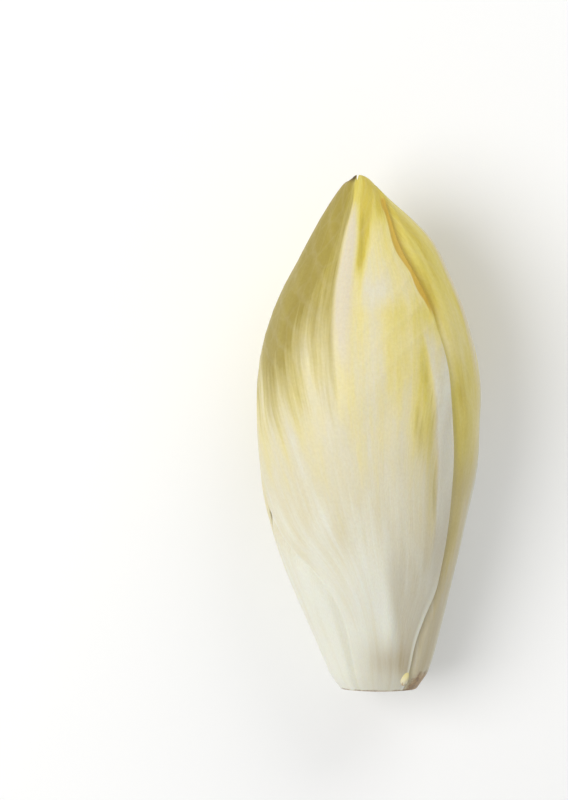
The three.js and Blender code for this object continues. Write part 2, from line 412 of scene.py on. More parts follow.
def make_mesh(name, points, faces, attributes, uv):
    """A smooth mesh object from whole arrays: points, faces, one value per point and attribute, and a UV."""
    mesh = bpy.data.meshes.new(name)
    mesh.from_pydata(points, [], faces)
    mesh.polygons.foreach_set("use_smooth", np.ones(len(mesh.polygons), bool))
    for label, values in attributes.items():
        layer = mesh.attributes.new(label, "FLOAT", "POINT")
        layer.data.foreach_set("value", np.ascontiguousarray(values, np.float32))
    corners = np.empty(len(mesh.loops), np.int32)
    mesh.loops.foreach_get("vertex_index", corners)
    layer = mesh.uv_layers.new(name="leaf")
    layer.data.foreach_set("uv", uv[corners].astype(np.float32).ravel())
    mesh.set_sharp_from_angle(angle=math.radians(55))
    mesh.validate()
    piece = bpy.data.objects.new(name, mesh)
    bpy.context.scene.collection.objects.link(piece)
    return piece


def plate_faces(rows, columns):
    """Quads of a closed plate whose outer grid of rows x columns is followed by an equal inner grid."""
    grid = np.arange(rows * columns).reshape(rows, columns)
    inner = grid + rows * columns

    def sheet(g):
        return np.stack([g[:-1, :-1], g[:-1, 1:], g[1:, 1:], g[1:, :-1]], -1).reshape(-1, 4)

    def strip(a, b):
        return np.stack([a[:-1], b[:-1], b[1:], a[1:]], -1)

    faces = [
        sheet(grid),
        sheet(inner)[:, ::-1],
        strip(grid[0], inner[0]),
        strip(inner[-1], grid[-1]),
        strip(inner[:, 0], grid[:, 0]),
        strip(grid[:, -1], inner[:, -1]),
    ]
    return np.concatenate(faces)


def ring_faces(rings, around):
    """Quads of rings stacked from first to last, with a fan of triangles to a pole at either end."""
    grid = np.arange(rings * around).reshape(rings, around)
    nxt = np.roll(grid, -1, 1)
    side = np.stack([grid[:-1], nxt[:-1], nxt[1:], grid[1:]], -1).reshape(-1, 4)
    start, end = rings * around, rings * around + 1
    first = np.stack([nxt[0], grid[0], np.full(around, start)], -1)
    last = np.stack([grid[-1], nxt[-1], np.full(around, end)], -1)
    return [*side.tolist(), *first.tolist(), *last.tolist()]


# ---------------------------------------------------------------- leaves


def grow_leaves(head):
    """All leaves from the outermost in; foot and tip heights are those of the CAD nodes."""
    nodes = list(OUTER_LEAVES)
    for kind in ("inner_leaf_", "heart_leaf_"):
        nodes += sorted(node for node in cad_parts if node.startswith(kind))
    leaves = []
    for k, node in enumerate(nodes):
        low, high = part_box(node)
        known = {
            "foot": max((low[1] / MM - head.base_y) / head.length, 0),
            "tip": min((high[1] / MM - head.base_y) / head.length, 1),
            **OUTER_LEAVES.get(node, {}),
        }
        if node.startswith("inner_leaf_"):
            known["tip"] = min(known["tip"] + INNER_TIP_EXTRA, INNER_TIP_LIMIT)
        azimuth = FIRST_AZIMUTH + SPIRAL_STEP * k
        leaves.append(Leaf(node=node, azimuth=azimuth, seed=k, over=list(leaves), **known))
    return leaves


def ridge(s, a):
    """Share of the midrib's ridge at share s of the leaf's length and a millimetres from the rib: a bell that
    narrows towards the tip."""
    width = 3.0 - 1.9 * smoothstep(s, 0.7, 0.95)
    return bell(a, 0, width) * smoothstep(s, 0.5, 0.8) * (1 - 0.8 * smoothstep(s, 0.93, 1))


def side_veins(rng, s, u, v):
    """Share of the side veins: thin pale ridges that leave the midrib, rise steeply and bend to the edge.

    A vein is a line of equal v - rise |u|^0.9, and a few sways keep the veins from being even. Those left of
    the midrib start half a spacing off those right of it. A vein's slant makes the true distance from it
    0.42 of the distance in v."""
    sway = 1.3 * np.sin(v / 13 + rng.uniform(0, 6)) + 0.8 * np.sin(u / 5 + v / 9 + rng.uniform(0, 6))
    offset = np.where(u < 0, VEIN_SPACING / 2, 0)
    phase = (v + offset - VEIN_RISE * np.abs(u) ** 0.9 + sway) / VEIN_SPACING
    distance = np.abs(phase - np.round(phase)) * VEIN_SPACING * 0.42
    return bell(distance, 0, VEIN_HALF) * smoothstep(s, 0.45, 0.7) * smoothstep(np.abs(u), 1, 4)


def mark_front_leaf(head, leaf, t, q, a, masks):
    """The front leaf's own marks. Across it, q is the share of its half-width, and a is millimetres from the
    midrib."""
    # Olive left of the rib, partly greening and partly painted shadow, a streak just right of it, and two
    # more out on the right of the belly, the outer one painted shade in the groove beside the rolled edge
    beside = 1.2 - 0.9 * smoothstep(t, 0.84, 0.95)
    side = smoothstep(-a, beside, 3 * beside) * (0.85 + 0.5 * smoothstep(-q, 0.2, 0.7))
    masks["olive_and_shade"] = (
        side * smoothstep(t, 0.42, 0.84)
        + 0.33 * bell(a, 2.8, 1.3) * between(t, (0.75, 0.82), (0.9, 0.96))
        + 0.3 * bell(q, 0.76, 0.03) * between(t, (0.3, 0.4), (0.58, 0.66))
        + 0.28 * bell(q, 0.61, 0.05) * bell(t, 0.5, 0.06)
    )
    # Less yellow on the rib, on the blade right of it, above the belly and all down the rolled right edge;
    # more in a streak beside the rib and in two down the right of the belly
    masks["pigment"] = (
        masks["pigment"]
        - 0.35 * bell(a, -0.3, 3) * between(t, (0.68, 0.8), (0.88, 0.96))
        - 0.34 * smoothstep(a, 3.8, 5.6) * between(t, (0.72, 0.78), (0.88, 0.94))
        - 0.17 * bell(q, 0.42, 0.2) * bell(t, 0.69, 0.09)
        - 0.42 * smoothstep(q, 0.775, 0.825) * below(t, 0.66, 0.74)
        + 0.5 * bell(a, 3.0, 1.1) * smoothstep(t, 0.78, 0.84)
        + 0.24 * bell(q, 0.6, 0.1) * between(t, (0.42, 0.52), (0.62, 0.7))
        + 0.22 * bell(q, 0.72, 0.06) * between(t, (0.2, 0.35), (0.6, 0.7))
    )
    # Right edge in dried brown, partly a dried edge and partly painted shadow of the gap under it: a band
    # measured in millimetres from the edge, swollen in three places
    inward = (1 - q) * np.radians(head.strip_width(leaf, t, q)) * head.radius(t)
    band = 1.15 + 0.75 * bell(t, 0.775, 0.025) + 0.6 * bell(t, 0.855, 0.028) + 0.4 * bell(t, 0.94, 0.014)
    masks["dried_and_shadow"] = below(inward, band, band + 0.3) * between(t, (0.72, 0.75), (0.948, 0.96))
    masks["scorched"] = smoothstep(head.share(leaf, t), 0.982, 0.996) * smoothstep(-q, 0.05, 0.15)
    # Painted shade in tan on the lower right, along the rolled edge but not at its foot, on the right of the
    # belly and in a dent just above the cut; and a tan ring just above the cut
    masks["tan"] = (
        0.55 * smoothstep(a, 2.5, 6) * between(t, (0, 0.05), (0.12, 0.42))
        + 0.34 * smoothstep(q, 0.74, 0.8) * between(t, (0.2, 0.32), (0.5, 0.66))
        - 0.5 * smoothstep(q, 0.85, 0.95) * below(t, 0.12, 0.25)
        + 0.2 * bell(q, 0.7, 0.08) * bell(t, 0.43, 0.1)
        + 0.45 * bell(t, 0.06, 0.035) * bell(a, 2, 5)
        + 0.25 * bell(a, 0, 8) * below(t, 0.07, 0.14)
    )


def mark_right_leaf(head, leaf, t, angle, masks):
    """The right leaf's own marks: they follow the front leaf's edge, or the turn round the head."""
    past = head.past_edge(leaf.over[0], t, angle)
    turn = wrapped(angle)
    low = below(t, 0.5, 0.76)
    # Painted shadow in dried-edge brown along the gap under the front leaf's edge
    gap_shadow = bell(past, 0, 4) * between(t, (0.69, 0.75), (0.95, 0.98))
    masks["dried_and_shadow"] = np.maximum(masks["dried_and_shadow"], 0.7 * gap_shadow)
    # More yellow in the strip that shows, but less low on the flank and beside the front leaf's shoulder
    masks["pigment"] = (
        masks["pigment"]
        + 0.2
        - 0.16 * smoothstep(t, 0.74, 0.86)
        - 0.5 * smoothstep(turn, 72, 88) * low
        - 0.3 * bell(past, 2, 7) * bell(t, 0.68, 0.07)
        + 0.28 * bell(turn, 58, 11) * between(t, (0.15, 0.35), (0.58, 0.7))
    )
    # Painted shade in olive beside the front leaf's edge, low down
    masks["olive_and_shade"] = 0.08 * bell(past, 3, 13) * low * smoothstep(t, 0.06, 0.2)
    # Painted shade in tan low on the flank
    masks["tan"] = 0.6 * low * bell(turn, 57, 30) * (1 - 0.7 * smoothstep(t, 0.38, 0.5))
    # The corner of the cut, where the brown crust climbs the leaf
    crust = 1.5 * smoothstep(turn, 36, 54) * below(t, 0.006, 0.054)
    masks["cut"] = np.maximum(masks["cut"], crust)


def leaf_masks(head, leaf, t, angle, q, a, vein):
    """Colour masks of a leaf, one value per point, from 0 (none) to about 1 (full)."""
    s = head.share(leaf, t)
    rng = np.random.default_rng(100 + leaf.seed)
    blotch = ripples(rng, a, t * head.length, (7, 11, 17), 0.5)
    edge = smoothstep(np.abs(q), 0.965, 1) * smoothstep(s, 0.3, 0.8)
    yellow = curve_through(PIGMENT, s) + 0.22 * np.abs(q) ** 1.6 * smoothstep(s, 0.3, 0.7)
    drying = ripples(rng, t * head.length, a, (9, 14, 23), 0.2)
    scorching = ripples(rng, a * 3, s, (5, 8), 0.1)
    masks = {
        "pigment": yellow + 0.05 * blotch,
        "rib": ridge(s, a) * below(s, 0.88, 1),
        "olive_and_shade": np.zeros_like(s),
        "dried_and_shadow": edge * np.clip(0.5 * drying + 0.1, 0, 1),
        "scorched": smoothstep(s, 0.985, 1) * (0.5 + 0.5 * scorching),
        "cut": below(t, leaf.foot, leaf.foot + 0.0045),
        "tan": np.zeros_like(s),
        "vein": vein,
    }
    if leaf.node == FRONT:
        mark_front_leaf(head, leaf, t, q, a, masks)
    if leaf.node == RIGHT:
        mark_right_leaf(head, leaf, t, angle, masks)
    if leaf.node == LEFT:
        masks["scorched"] = smoothstep(t, 0.992, 0.997)
        # Olive towards the tip, partly greening and partly painted shadow
        masks["olive_and_shade"] = 0.8 * smoothstep(t, 0.62, 0.82)
    if leaf.node == UNDER:
        # Olive on the left side towards the tip, partly greening and partly painted shadow
        masks["olive_and_shade"] = 0.7 * smoothstep(t, 0.5, 0.9) * bell(wrapped(angle), -80, 26)
    return masks


def own_relief(head, leaf, t, angle, q, slender):
    """Swells and dents that only one leaf has, in millimetres."""
    if leaf.node == FRONT:
        # A groove beside the rolled right edge, the edge's lip at the shoulder and near the tip, and a low
        # swell right of the rib near the foot
        return (
            -0.4 * bell(q, 0.76, 0.05) * between(t, (0.28, 0.4), (0.6, 0.7))
            + 0.4 * smoothstep(q, 0.9, 1) * between(t, (0.66, 0.76), (0.9, 1))
            + 0.7 * smoothstep(q, 0.8, 1) * bell(t, 0.955, 0.012)
            + 0.45 * bell(q, 0.22, 0.14) * between(t, (0.04, 0.12), (0.25, 0.4))
        )
    if leaf.node == RIGHT:
        # A full shoulder above the belly, and a welt close to the front leaf's edge
        welt = between(head.past_edge(leaf.over[0], t, angle), (1.5, 6), (6, 16))
        shoulder = bell(t, 0.875, 0.05) * bell(wrapped(angle), 78, 32)
        return 1.3 * shoulder / np.maximum(slender, 0.5) + 0.3 * welt * between(t, (0.15, 0.25), (0.72, 0.8))
    return 0


def front_tip_drop(q):
    """How much lower than its full height the front leaf ends: a small notch, and a fall to either side."""
    return 0.01 * bell(q, -0.03, 0.06) + 0.012 * smoothstep(-q, 0.12, 0.7) + 0.004 * smoothstep(q, 0.2, 1)


def make_leaf(head, leaf, rows, columns):
    """One leaf as a closed plate on a grid: q runs across it and v along it.

    Its outer face is the head's outline less the leaves over it, plus the midrib's ridge, the veins and the
    lengthwise ribs. Its inner face is the outer one less the thickness. The edges and the tip are rounded."""
    rng = np.random.default_rng(leaf.seed)
    across = np.linspace(-1, 1, columns)
    across = 0.55 * across + 0.45 * np.sin(np.pi / 2 * across)  # columns crowd together towards the edges
    q, v = np.meshgrid(across, np.linspace(0, 1, rows))
    tip = leaf.tip - front_tip_drop(q) if leaf.node == FRONT else leaf.tip
    t = leaf.foot + (tip - leaf.foot) * v
    s = head.share(leaf, t)

    # Where the grid lies round the head: narrowed to the tip by a superellipse, its edges slightly wavy
    narrowing = 1
    if leaf.node != FRONT:
        narrowing = np.maximum(np.sqrt(np.maximum(1 - s**leaf.point, 0)), NARROWEST_TIP)
    wave = 1 + 0.012 * np.sin(31 * s + leaf.seed) * smoothstep(s, 0.3, 0.6) * np.abs(q) ** 6
    angle = head.rib_angle(leaf, t) + q * head.strip_width(leaf, t, q) * narrowing * wave
    radius = head.radius(t)
    a = np.radians(angle - head.rib_angle(leaf, t)) * radius
    face = head.outer_face(leaf, t, angle)

    # The leaf's own coordinates, in millimetres of a leaf laid out flat: fibres draw together towards the tip
    u = q / (1 + 1.1 * smoothstep(s, 0.35, 1)) * 30
    v_mm = s * (leaf.tip - leaf.foot) * head.length

    # Relief: low where the head is slender, none on the floor or at the very edge
    slender = np.minimum(radius / 20, 1)
    off_floor = smoothstep(head.centre_height(t) + FLATNESS * face * np.cos(np.radians(angle)), 0.2, 1.5)
    crest = ripples(rng, u, v_mm, (4.1, 6.3, 9.4)) * smoothstep(s, 0.05, 0.45)
    vein = side_veins(rng, s, u, v_mm)
    swell = 0.35 * ripples(rng, a, v_mm, (24, 37), 0.4) * smoothstep(s, 0.1, 0.3)
    relief = head.vein_height * (0.8 * crest + 0.9 * vein) + head.ridge_height * ridge(s, a) + swell
    relief = relief * slender + own_relief(head, leaf, t, angle, q, slender)
    face = face + relief * off_floor * smoothstep(1 - np.abs(q), 0, 0.03)

    # The inner face; an outer leaf's foot is thickened until it meets the stem
    stem_face = head.stem(t) + 0.15
    inner = np.maximum(face - head.thickness(leaf, t, q), stem_face)
    if leaf.foot < 0.01:
        inner = inner + (stem_face - inner) * below(t, 0, 0.06)
    inner = np.minimum(inner, face - 0.3)

    # Half-round edges and tip: the two faces close on their middle as a quarter circle
    side = np.clip((np.abs(q) - 1 + SIDE_ROUND) / SIDE_ROUND, 0, 1)
    end = np.clip((v - 1 + TIP_ROUND) / TIP_ROUND, 0, 1)
    half = (face - inner) / 2 * np.sqrt(np.maximum(1 - np.maximum(side, end) ** 2, 0.01))
    middle = (face + inner) / 2
    sheets = [head.place(t, angle, middle + half), head.place(t, angle, middle - half)]

    masks = leaf_masks(head, leaf, t, angle, q, a, vein)
    attributes = {label: np.tile(values.ravel(), 2) for label, values in masks.items()}
    uv = np.tile(np.stack([u.ravel(), v_mm.ravel()], -1) * MM, (2, 1))
    points = np.concatenate([sheet.reshape(-1, 3) for sheet in sheets])
    return make_mesh("leaf_" + leaf.node, points, plate_faces(rows, columns), attributes, uv)


def make_stem(head):
    """The stem cone: rings on the cut face from its middle out, then up the cone to the growing point.

    A few waves round the stem keep it from being a turned shape."""
    around = 96
    top = 0.95 * head.stem_height
    angle = np.linspace(0, 360, around, endpoint=False)
    face_rings = np.linspace(0.06, 1, 14)
    side_t = np.linspace(0, top, 60)[1:]
    t = np.concatenate([np.zeros_like(face_rings), side_t])[:, None]
    radius = np.concatenate([face_rings * head.stem(0.0), head.stem(side_t)])[:, None]
    rng = np.random.default_rng(7)
    grain = 0.12 * ripples(rng, angle[None, :] / 7, radius * 4, (4, 7, 11)) * smoothstep(radius, 1, 5)
    points = head.place(t, angle, radius + grain)
    poles = head.place(np.array([0.0, top]), np.zeros(2), np.zeros(2))
    points = np.concatenate([points.reshape(-1, 3), poles])
    height = np.concatenate([np.repeat(t, around), [0.0, top]])
    spread = np.concatenate([np.repeat(radius, around), [0.0, 0.0]])
    uv = np.stack([spread, height * head.length], -1) * MM
    attributes = {"cut": below(height, 0.002, 0.012), "ring": spread / head.stem_radius}
    return make_mesh("stem_core_flesh", points, ring_faces(len(t), around), attributes, uv)


def make_bud():
    """The side bud: three small scales wrapped into a pointed drop.

    Its section is an ellipse with three low lobes that twist up it, its profile a sine that swells early and
    ends in a point. The drop is then tilted, turned and moved to its place beside the cut."""
    around, rings = 48, 40
    turn = np.linspace(0, 2 * np.pi, around, endpoint=False)
    v = np.linspace(0.02, 0.98, rings)[:, None]
    swell = np.sin(np.pi * v**0.75) ** 0.8 * (1 - 0.35 * v)
    fold = 1 + 0.10 * np.cos(3 * turn + 5 * v) * smoothstep(v, 0.1, 0.5)
    x = BUD_HALF_WIDTH * swell * fold * np.cos(turn)
    z = BUD_HALF_DEPTH * swell * fold * np.sin(turn)
    y = np.broadcast_to((v - 0.5) * BUD_LENGTH, x.shape)
    poles = [(0, -BUD_LENGTH / 2, 0), (0, BUD_LENGTH / 2, 0)]
    points = np.concatenate([np.stack([x, y, z], -1).reshape(-1, 3), poles]) * MM
    tilt = Matrix.Rotation(BUD_TURN, 3, "Y") @ Matrix.Rotation(BUD_SLOPE, 3, "X")
    low, high = (np.array(corner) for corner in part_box("base_bud"))
    points = points @ np.array(tilt).T + (low + high) / 2 + np.array(BUD_PLACE) * MM
    height = np.concatenate([np.repeat(v, around), [0, 1]])
    uv = np.stack([np.concatenate([np.tile(turn, rings), [0, 0]]), height * 5], -1) * MM
    faces = [face[::-1] for face in ring_faces(rings, around)]
    return make_mesh("side_bud", points, faces, {"height": height}, uv)


# ---------------------------------------------------------------- materials


def add_node(tree, kind, inputs=(), **settings):
    """Adds a node with its settings, and gives its inputs, in order or by name or number, values or links.

    A node given as an input is linked by its first output in use."""
    node = tree.nodes.new(kind)
    for name, value in settings.items():
        setattr(node, name, value)
    keyed = inputs if isinstance(inputs, dict) else dict(enumerate(inputs))
    for key, value in keyed.items():
        if isinstance(value, bpy.types.Node):
            value = next(output for output in value.outputs if output.enabled)
        if isinstance(value, bpy.types.NodeSocket):
            tree.links.new(value, node.inputs[key])
        else:
            node.inputs[key].default_value = value
    return node


# A Map Range node takes, in order, its value, the range it comes from and the range it goes to, and holds the
# value at their ends. A Mix node of colours takes its factor as input 0 and its colours as inputs 6 and 7.


def empty_material(name):
    """A node material with nothing in its tree."""
    material = bpy.data.materials.new(name)
    material.use_nodes = True
    material.node_tree.nodes.clear()
    return material


def set_stops(ramp, stops):
    """Fills a colour ramp with (place, colour) stops."""
    while len(ramp.elements) < len(stops):
        ramp.elements.new(1)
    for element, (place, code) in zip(ramp.elements, stops):
        element.position = place
        element.color = (*code, 1)


def millimetre_scale(across, along):
    """Scale of a Mapping node that makes one unit of a pattern across x along millimetres."""
    return (1 / (across * MM), 1 / (along * MM), 1)


def leaf_skin(name, colours, ripeness):
    """Blanched chicory leaf: crisp watery tissue under a thin waxy skin, grown in the dark.

    To the eye it is white and faintly glassy at the foot, cream in the middle and yellow at the tip. It has
    fine lengthwise fibres, a pale net of veins in the blade, satin highlights, and brown where it dried. Its
    olive, tan and dried-brown layers also carry painted shade and painted shadow."""
    material = empty_material(name)
    tree = material.node_tree
    uv = add_node(tree, "ShaderNodeUVMap", uv_map="leaf")
    mask = {}
    for label in ("pigment", "rib", "olive_and_shade", "dried_and_shadow", "scorched", "cut", "tan", "vein"):
        mask[label] = add_node(tree, "ShaderNodeAttribute", attribute_name=label).outputs["Fac"]
    noises = []
    for across, along, detail, roughness in SKIN_PATTERNS.values():
        scale = millimetre_scale(across, along)
        place = add_node(tree, "ShaderNodeMapping", {"Vector": uv, "Scale": scale})
        sockets = {"Vector": place, "Scale": 1, "Detail": detail, "Roughness": roughness}
        noises.append(add_node(tree, "ShaderNodeTexNoise", sockets))
    fibre, streak, cloud, grain = noises

    # The net of small veins: edges of cells that the cloud pattern bends
    place = add_node(tree, "ShaderNodeMapping", {"Vector": uv, "Scale": millimetre_scale(*NET_CELL)})
    bent = add_node(tree, "ShaderNodeVectorMath", (place, cloud), operation="ADD")
    cells = add_node(tree, "ShaderNodeTexVoronoi", {"Vector": bent, "Scale": 1}, feature="DISTANCE_TO_EDGE")
    net = add_node(tree, "ShaderNodeMapRange", (cells, 0.015, 0.09, 1, 0))

    # Yellow pigment, uneven wherever there is some
    pigment = add_node(tree, "ShaderNodeMath", (mask["pigment"], ripeness), operation="ADD")
    uneven_streak = add_node(tree, "ShaderNodeMapRange", (streak, 0.3, 0.7, -0.12, 0.12))
    uneven_cloud = add_node(tree, "ShaderNodeMapRange", (cloud, 0.3, 0.7, -0.12, 0.12))
    uneven_fibre = add_node(tree, "ShaderNodeMapRange", (fibre, 0.3, 0.7, -0.07, 0.07))
    uneven = add_node(tree, "ShaderNodeMath", (uneven_streak, uneven_cloud), operation="ADD")
    uneven = add_node(tree, "ShaderNodeMath", (uneven, uneven_fibre), operation="ADD")
    some = add_node(tree, "ShaderNodeMapRange", (pigment, 0, 0.4, 0.35, 1))
    uneven = add_node(tree, "ShaderNodeMath", (uneven, some), operation="MULTIPLY")
    pigment = add_node(tree, "ShaderNodeMath", (pigment, uneven), operation="ADD")
    skin = add_node(tree, "ShaderNodeValToRGB", (pigment,))
    stops = [
        (0.0, colours.blanched),
        (0.25, colours.cream),
        (0.52, colours.pale_yellow),
        (0.85, colours.yellow),
        (1.0, colours.deep_yellow),
    ]
    set_stops(skin.color_ramp, stops)

    # The edges of the olive side, partly greening and partly painted shade, and of the pale midrib fray along
    # the fibres
    fray_streak = add_node(tree, "ShaderNodeMapRange", (streak, 0.3, 0.7, -0.28, 0.28))
    fray_fibre = add_node(tree, "ShaderNodeMapRange", (fibre, 0.3, 0.7, -0.2, 0.2))
    fray = add_node(tree, "ShaderNodeMath", (fray_streak, fray_fibre), operation="ADD")
    frayed = {}
    for label in ("olive_and_shade", "rib"):
        inside = add_node(tree, "ShaderNodeMapRange", (mask[label], 0, 0.3, 0, 1))
        change = add_node(tree, "ShaderNodeMath", (fray, inside), operation="MULTIPLY")
        frayed[label] = add_node(tree, "ShaderNodeMath", (mask[label], change), operation="ADD")
    greened_and_shaded = add_node(tree, "ShaderNodeMapRange", (frayed["olive_and_shade"], 0.1, 0.85, 0, 1))
    thinned = add_node(tree, "ShaderNodeMapRange", (cloud, 0.3, 0.65, 1, 0.82))
    greened_and_shaded = add_node(tree, "ShaderNodeMath", (greened_and_shaded, thinned), operation="MULTIPLY")
    standing_rib = add_node(tree, "ShaderNodeMapRange", (frayed["rib"], 0.2, 0.75, 0, 0.88))

    # The rest of what lies over the yellow, and then the layers themselves, each over the last
    in_blade = add_node(tree, "ShaderNodeMapRange", (pigment, 0.35, 0.8, 0, 0.05))
    netted = add_node(tree, "ShaderNodeMath", (net, in_blade), operation="MULTIPLY")
    veined = add_node(tree, "ShaderNodeMath", (mask["vein"], 0.07), operation="MULTIPLY")
    # Painted shade in tan, uneven in patches
    uneven_shade = add_node(tree, "ShaderNodeMapRange", (cloud, 0.2, 0.6, 0.6, 1))
    painted_shade = add_node(tree, "ShaderNodeMath", (mask["tan"], uneven_shade), operation="MULTIPLY")
    # Dried brown, which also paints shadow along the front leaf's edge, in patches
    patchy = add_node(tree, "ShaderNodeMapRange", (cloud, 0.25, 0.6, 0.85, 1))
    dried_and_shadow = add_node(tree, "ShaderNodeMath", (mask["dried_and_shadow"], patchy), operation="MULTIPLY")
    for factor, over in (
        (greened_and_shaded, colours.olive_and_shade),
        (netted, colours.midrib),
        (veined, colours.midrib),
        (painted_shade, colours.tan),
        (standing_rib, colours.midrib),
        (dried_and_shadow, colours.dried_and_shadow),
        (mask["scorched"], colours.scorched),
    ):
        skin = add_node(tree, "ShaderNodeMix", {0: factor, 6: skin, 7: (*over, 1)}, data_type="RGBA")

    # The browned cut, ragged and crusted by specks about 2 mm wide
    place = add_node(tree, "ShaderNodeTexCoord").outputs["Object"]
    sockets = {"Vector": place, "Scale": 0.45 / MM, "Detail": 4, "Roughness": 0.65}
    speckle = add_node(tree, "ShaderNodeTexNoise", sockets)
    ragged = add_node(tree, "ShaderNodeMapRange", (speckle, 0.35, 0.65, -0.3, 0.3))
    ragged = add_node(tree, "ShaderNodeMath", (mask["cut"], ragged), operation="ADD")
    browned = add_node(tree, "ShaderNodeMapRange", (ragged, 0.35, 1.05, 0, 0.85))
    specks = add_node(tree, "ShaderNodeMapRange", (speckle, 0.44, 0.6, 0, 0.7))
    cut, crust = (*colours.cut, 1), (*colours.crust, 1)
    crusted = add_node(tree, "ShaderNodeMix", {0: specks, 6: cut, 7: crust}, data_type="RGBA")
    skin = add_node(tree, "ShaderNodeMix", {0: browned, 6: skin, 7: crusted}, data_type="RGBA")

    # A faint grain all over
    shade = add_node(tree, "ShaderNodeMapRange", (grain, 0.35, 0.7, 0, 0.10))
    layers = {0: shade, 6: skin, 7: (*colours.tan, 1)}
    skin = add_node(tree, "ShaderNodeMix", layers, data_type="RGBA", blend_type="MULTIPLY")

    low_grain = add_node(tree, "ShaderNodeMath", (grain, 0.35), operation="MULTIPLY")
    low_net = add_node(tree, "ShaderNodeMath", (net, 0.3), operation="MULTIPLY")
    height = add_node(tree, "ShaderNodeMath", (fibre, low_grain), operation="ADD")
    height = add_node(tree, "ShaderNodeMath", (height, low_net), operation="ADD")
    bump = add_node(tree, "ShaderNodeBump", {"Height": height, "Strength": 0.35, "Distance": 0.12 * MM})
    sockets = {
        "Base Color": skin,
        "Roughness": add_node(tree, "ShaderNodeMapRange", (grain, 0.2, 0.8, 0.40, 0.54)),
        "IOR": 1.42,
        "Subsurface Weight": 0.25,
        "Subsurface Radius": (1.0, 0.75, 0.35),
        "Subsurface Scale": 1.6 * MM,
        "Specular IOR Level": 0.4,
        "Coat Weight": 0.05,
        "Coat Roughness": 0.35,
        "Normal": bump,
    }
    shader = add_node(tree, "ShaderNodeBsdfPrincipled", sockets)
    add_node(tree, "ShaderNodeOutputMaterial", {"Surface": shader})
    return material


def stem_flesh(colours):
    """Cut root collar: dense wet flesh that has browned in the air.

    To the eye it is matte and mottled, with a darker ring of conducting tissue a little inside its edge."""
    material = empty_material("browned_root_collar_flesh")
    tree = material.node_tree
    place = add_node(tree, "ShaderNodeTexCoord").outputs["Object"]
    scaled = add_node(tree, "ShaderNodeMapping", {"Vector": place, "Scale": (1 / MM,) * 3})
    cloud = add_node(tree, "ShaderNodeTexNoise", {"Vector": scaled, "Scale": 0.5, "Detail": 5})
    grain = add_node(tree, "ShaderNodeTexNoise", {"Vector": scaled, "Scale": 2.2, "Detail": 3})
    ring = add_node(tree, "ShaderNodeAttribute", attribute_name="ring").outputs["Fac"]
    cut = add_node(tree, "ShaderNodeAttribute", attribute_name="cut").outputs["Fac"]
    mottled = add_node(tree, "ShaderNodeMapRange", (cloud, 0.3, 0.65, 0.4, 1))
    browned = add_node(tree, "ShaderNodeMath", (cut, mottled), operation="MULTIPLY")
    flesh, brown = (*colours.cream, 1), (*colours.cut, 1)
    flesh = add_node(tree, "ShaderNodeMix", {0: browned, 6: flesh, 7: brown}, data_type="RGBA")
    ring_in = add_node(tree, "ShaderNodeMapRange", (ring, 0.55, 0.75, 0, 0.45))
    ring_out = add_node(tree, "ShaderNodeMapRange", (ring, 0.8, 0.98, 1, 0.2))
    vessels = add_node(tree, "ShaderNodeMath", (ring_in, ring_out), operation="MULTIPLY")
    vessels = add_node(tree, "ShaderNodeMath", (vessels, cut), operation="MULTIPLY")
    layers = {0: vessels, 6: flesh, 7: (*colours.scorched, 1)}
    flesh = add_node(tree, "ShaderNodeMix", layers, data_type="RGBA")
    bump = add_node(tree, "ShaderNodeBump", {"Height": grain, "Strength": 0.5, "Distance": 0.25 * MM})
    roughness = add_node(tree, "ShaderNodeMapRange", (cloud, 0.3, 0.7, 0.6, 0.8))
    sockets = {"Base Color": flesh, "Roughness": roughness, "Normal": bump}
    shader = add_node(tree, "ShaderNodeBsdfPrincipled", sockets)
    add_node(tree, "ShaderNodeOutputMaterial", {"Surface": shader})
    return material


def bud_scale(colours):
    """Small side bud: tender scales, pale at the foot and greenish yellow at the point, with a satin skin."""
    material = empty_material("tender_bud_scale")
    tree = material.node_tree
    uv = add_node(tree, "ShaderNodeUVMap", uv_map="leaf")
    place = add_node(tree, "ShaderNodeMapping", {"Vector": uv, "Scale": millimetre_scale(*BUD_FIBRE)})
    fibre = add_node(tree, "ShaderNodeTexNoise", {"Vector": place, "Scale": 1, "Detail": 2})
    height = add_node(tree, "ShaderNodeAttribute", attribute_name="height").outputs["Fac"]
    uneven = add_node(tree, "ShaderNodeMapRange", (fibre, 0.3, 0.7, -0.15, 0.15))
    tone = add_node(tree, "ShaderNodeMath", (height, uneven), operation="ADD")
    skin = add_node(tree, "ShaderNodeValToRGB", (tone,))
    stops = [
        (0.0, colours.cut),
        (0.15, colours.cream),
        (0.6, colours.pale_yellow),
        (1.0, colours.deep_yellow),
    ]
    set_stops(skin.color_ramp, stops)
    bump = add_node(tree, "ShaderNodeBump", {"Height": fibre, "Strength": 0.4, "Distance": 0.1 * MM})
    sockets = {"Base Color": skin, "Roughness": 0.45, "IOR": 1.42, "Normal": bump}
    shader = add_node(tree, "ShaderNodeBsdfPrincipled", sockets)
    add_node(tree, "ShaderNodeOutputMaterial", {"Surface": shader})
    return material


def studio_floor(colours):
    """Studio sweep: white coated board, so rough that it shows no reflection."""
    material = empty_material("matte_white_board")
    tree = material.node_tree
    place = add_node(tree, "ShaderNodeTexCoord").outputs["Object"]
    tooth = add_node(tree, "ShaderNodeTexNoise", {"Vector": place, "Scale": 900, "Detail": 2})
    roughness = add_node(tree, "ShaderNodeMapRange", (tooth, 0.3, 0.7, 0.75, 0.9))
    sockets = {"Base Color": (*colours.floor, 1), "Roughness": roughness}
    shader = add_node(tree, "ShaderNodeBsdfPrincipled", sockets)
    add_node(tree, "ShaderNodeOutputMaterial", {"Surface": shader})
    return material


# ---------------------------------------------------------------- operators


